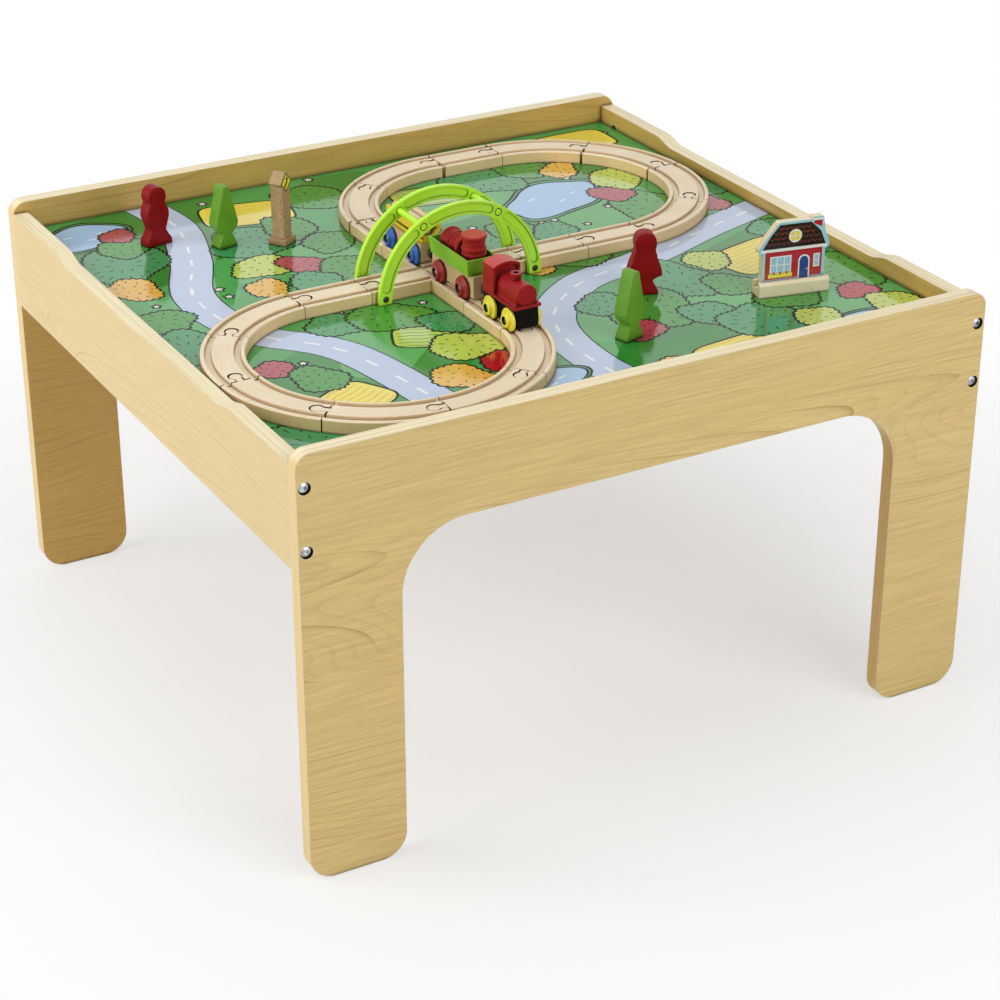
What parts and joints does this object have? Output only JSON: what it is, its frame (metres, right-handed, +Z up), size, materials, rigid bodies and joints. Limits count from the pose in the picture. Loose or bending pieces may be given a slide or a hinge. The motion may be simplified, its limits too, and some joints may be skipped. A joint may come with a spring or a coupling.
{
  "type": "train table",
  "caption": "Low wooden play table with arched panel legs, a printed play board, a figure-eight wooden railway, a train, a bridge and small standing toys.",
  "frame": {"origin": "on the floor under the middle of the table", "axes": "+X along the front panel to the right, +Y from the front panel to the back panel, +Z up"},
  "size_m": [0.7, 0.668, 0.471],
  "materials": {
    "panel_wood": "oak-look foil on chipboard, satin",
    "board_print": "printed fibreboard, glossy lacquer",
    "frame_wood": "sawn softwood, hidden",
    "bolt_steel": "bright plated steel",
    "nut_steel": "zinc plated steel",
    "beech": "sanded beech, clear lacquer",
    "red_wood": "red paint on wood",
    "black_wood": "black paint on wood",
    "green_wood": "green paint on wood",
    "tree_wood": "green stain on wood",
    "figure_wood": "dark red stain on wood",
    "yellow_wood": "yellow paint on wood",
    "log_wood": "bare turned wood",
    "sign_wood": "speckled hardwood",
    "house_print": "printed fibreboard",
    "yellow_plastic": "moulded",
    "red_plastic": "moulded",
    "blue_plastic": "moulded",
    "lime_plastic": "moulded",
    "black_plastic": "moulded"
  },
  "bodies": {
    "table": {"front_panel": "panel_wood", "back_panel": "panel_wood", "left_rail": "panel_wood", "right_rail": "panel_wood", "play_board": "board_print", "side_cleats": "frame_wood", "end_cleats": "frame_wood", "centre_brace": "frame_wood", "corner_bolts": "bolt_steel", "barrel_nuts": "nut_steel", "cleat_screws": "nut_steel", "track_crossing": "beech", "front_straight_a": "beech", "front_curve_a": "beech", "front_curve_b": "beech", "front_curve_c": "beech", "front_curve_d": "beech", "front_curve_e": "beech", "front_curve_f": "beech", "front_straight_b": "beech", "back_straight_a": "beech", "back_straight_b": "beech", "back_curve_a": "beech", "back_curve_b": "beech", "back_curve_c": "beech", "back_curve_d": "beech", "back_straight_c": "beech", "back_curve_e": "beech", "back_curve_f": "beech", "back_straight_d": "beech"},
    "loco": {"loco_chassis": "black_wood", "loco_body": "red_wood", "loco_chimney": "red_wood", "loco_coupling": "black_plastic"},
    "loco_front_axle": {"loco_front_wheels": "yellow_plastic"},
    "loco_rear_axle": {"loco_rear_wheels": "yellow_plastic"},
    "barrel_wagon": {"barrel_wagon_chassis": "beech", "barrel_wagon_tray": "green_wood", "barrel_wagon_couplings": "black_plastic"},
    "barrel_wagon_front_axle": {"barrel_wagon_front_wheels": "red_plastic"},
    "barrel_wagon_rear_axle": {"barrel_wagon_rear_wheels": "red_plastic"},
    "barrel_upright": {"standing_barrel": "red_wood"},
    "barrel_on_side": {"lying_barrel": "red_wood"},
    "log_wagon": {"log_wagon_chassis": "beech", "log_wagon_cradle": "yellow_wood", "log_wagon_logs": "log_wood", "log_wagon_couplings": "black_plastic"},
    "log_wagon_front_axle": {"log_wagon_front_wheels": "blue_plastic"},
    "log_wagon_rear_axle": {"log_wagon_rear_wheels": "blue_plastic"},
    "bridge": {"bridge_front_arch": "lime_plastic", "bridge_back_arch": "lime_plastic", "bridge_rods": "lime_plastic", "bridge_pins": "black_plastic"},
    "man": {"man_figure": "figure_wood"},
    "woman": {"woman_figure": "figure_wood"},
    "tree_at_back": {"back_tree": "tree_wood"},
    "tree_at_front": {"front_tree": "tree_wood"},
    "sign": {"sign_post": "sign_wood"},
    "house": {"house_board": "house_print", "house_base": "beech"}
  },
  "joints": [
    {"name": "train_roll", "type": "slide", "parent": "table", "child": "loco", "axis": [0, 1, 0], "range_m": [0, 0.07]},
    {"name": "barrel_wagon_roll", "type": "slide", "parent": "table", "child": "barrel_wagon", "axis": [0, 1, 0], "range_m": [0, 0.07]},
    {"name": "log_wagon_roll", "type": "slide", "parent": "table", "child": "log_wagon", "axis": [0, 1, 0], "range_m": [0, 0.07]},
    {"name": "loco_front_spin", "type": "hinge", "parent": "loco", "child": "loco_front_axle", "pos_m": [-0.04145, -0.15899, 0.4044], "axis": [1, 0, 0], "continuous": true},
    {"name": "loco_rear_spin", "type": "hinge", "parent": "loco", "child": "loco_rear_axle", "pos_m": [-0.04145, -0.12549, 0.4044], "axis": [1, 0, 0], "continuous": true},
    {"name": "barrel_wagon_front_spin", "type": "hinge", "parent": "barrel_wagon", "child": "barrel_wagon_front_axle", "pos_m": [-0.04145, -0.07199, 0.4044], "axis": [1, 0, 0], "continuous": true},
    {"name": "barrel_wagon_rear_spin", "type": "hinge", "parent": "barrel_wagon", "child": "barrel_wagon_rear_axle", "pos_m": [-0.04145, -0.02649, 0.4044], "axis": [1, 0, 0], "continuous": true},
    {"name": "log_wagon_front_spin", "type": "hinge", "parent": "log_wagon", "child": "log_wagon_front_axle", "pos_m": [-0.04145, 0.02526, 0.4044], "axis": [1, 0, 0], "continuous": true},
    {"name": "log_wagon_rear_spin", "type": "hinge", "parent": "log_wagon", "child": "log_wagon_rear_axle", "pos_m": [-0.04145, 0.07426, 0.4044], "axis": [1, 0, 0], "continuous": true},
    {"name": "standing_barrel_lift", "type": "slide", "parent": "barrel_wagon", "child": "barrel_upright", "axis": [0, 0, 1], "range_m": [0, 0.06]},
    {"name": "lying_barrel_lift", "type": "slide", "parent": "barrel_wagon", "child": "barrel_on_side", "axis": [0, 0, 1], "range_m": [0, 0.009]},
    {"name": "bridge_lift", "type": "slide", "parent": "table", "child": "bridge", "axis": [0, 0, 1], "range_m": [0, 0.12]},
    {"name": "man_lift", "type": "slide", "parent": "table", "child": "man", "axis": [0, 0, 1], "range_m": [0, 0.1]},
    {"name": "woman_lift", "type": "slide", "parent": "table", "child": "woman", "axis": [0, 0, 1], "range_m": [0, 0.1]},
    {"name": "back_tree_lift", "type": "slide", "parent": "table", "child": "tree_at_back", "axis": [0, 0, 1], "range_m": [0, 0.1]},
    {"name": "front_tree_lift", "type": "slide", "parent": "table", "child": "tree_at_front", "axis": [0, 0, 1], "range_m": [0, 0.1]},
    {"name": "sign_lift", "type": "slide", "parent": "table", "child": "sign", "axis": [0, 0, 1], "range_m": [0, 0.1]},
    {"name": "house_lift", "type": "slide", "parent": "table", "child": "house", "axis": [0, 0, 1], "range_m": [0, 0.1]}
  ],
  "couplings": [
    {"joint": "barrel_wagon_roll", "follows": "train_roll", "ratio": 1},
    {"joint": "log_wagon_roll", "follows": "train_roll", "ratio": 1},
    {"joint": "loco_front_spin", "follows": "train_roll", "rad_per_m": -89.286},
    {"joint": "loco_rear_spin", "follows": "train_roll", "rad_per_m": -89.286},
    {"joint": "barrel_wagon_front_spin", "follows": "train_roll", "rad_per_m": -89.286},
    {"joint": "barrel_wagon_rear_spin", "follows": "train_roll", "rad_per_m": -89.286},
    {"joint": "log_wagon_front_spin", "follows": "train_roll", "rad_per_m": -89.286},
    {"joint": "log_wagon_rear_spin", "follows": "train_roll", "rad_per_m": -89.286}
  ]
}
